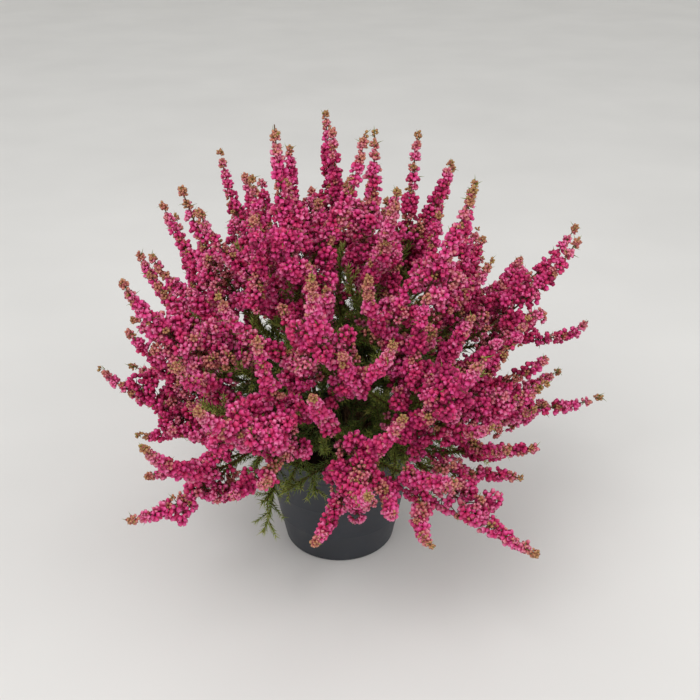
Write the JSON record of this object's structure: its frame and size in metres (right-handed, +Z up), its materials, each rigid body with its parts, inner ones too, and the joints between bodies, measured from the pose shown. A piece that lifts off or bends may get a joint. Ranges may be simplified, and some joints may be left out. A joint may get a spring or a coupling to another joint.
{
  "type": "potted cape heath",
  "caption": "Bushy cape heath in full flower, its upright spires of small pink bells over needle leaves, in a plain round nursery pot of peat.",
  "frame": {"origin": "centre of the pot's underside, in the plane that the pot stands on", "axes": "+Z up along the pot's axis; the picture's viewer stands at -Y, with +X to the viewer's right"},
  "size_m": [0.364, 0.367, 0.3347],
  "materials": {
    "pot_plastic": "satin",
    "peat": "matte",
    "bark": "matte",
    "needles": "matte",
    "bells": "matte"
  },
  "bodies": {
    "root": {"pot": "pot_plastic", "peat": "peat", "woody_crown_1": "bark", "woody_crown_2": "bark", "woody_crown_3": "bark", "leafy_stem_01": "needles", "leafy_stem_02": "needles", "leafy_stem_03": "needles", "leafy_stem_04": "needles", "leafy_stem_05": "needles", "leafy_stem_06": "needles", "leafy_stem_07": "needles", "leafy_stem_08": "needles", "leafy_stem_09": "needles", "leafy_stem_10": "needles", "leafy_stem_11": "needles", "leafy_stem_12": "needles", "leafy_stem_13": "needles", "leafy_stem_14": "needles", "leafy_stem_15": "needles", "leafy_stem_16": "needles", "leafy_stem_17": "needles", "leafy_stem_18": "needles", "leafy_stem_19": "needles", "leafy_stem_20": "needles", "leafy_stem_21": "needles", "leafy_stem_22": "needles", "leafy_stem_23": "needles", "leafy_stem_24": "needles", "leafy_stem_25": "needles", "flower_spray_01": "bells", "flower_spray_02": "bells", "flower_spray_03": "bells", "flower_spray_04": "bells", "flower_spray_05": "bells", "flower_spray_06": "bells", "flower_spray_07": "bells", "flower_spray_08": "bells", "flower_spray_09": "bells", "flower_spray_10": "bells", "flower_spray_11": "bells", "flower_spray_12": "bells", "flower_spray_13": "bells", "flower_spray_14": "bells", "flower_spray_15": "bells", "flower_spray_16": "bells", "flower_spray_17": "bells", "flower_spray_18": "bells", "flower_spray_19": "bells", "flower_spray_20": "bells", "flower_spray_21": "bells", "flower_spray_22": "bells", "flower_spray_23": "bells", "flower_spray_24": "bells", "flower_spray_25": "bells"}
  },
  "joints": []
}
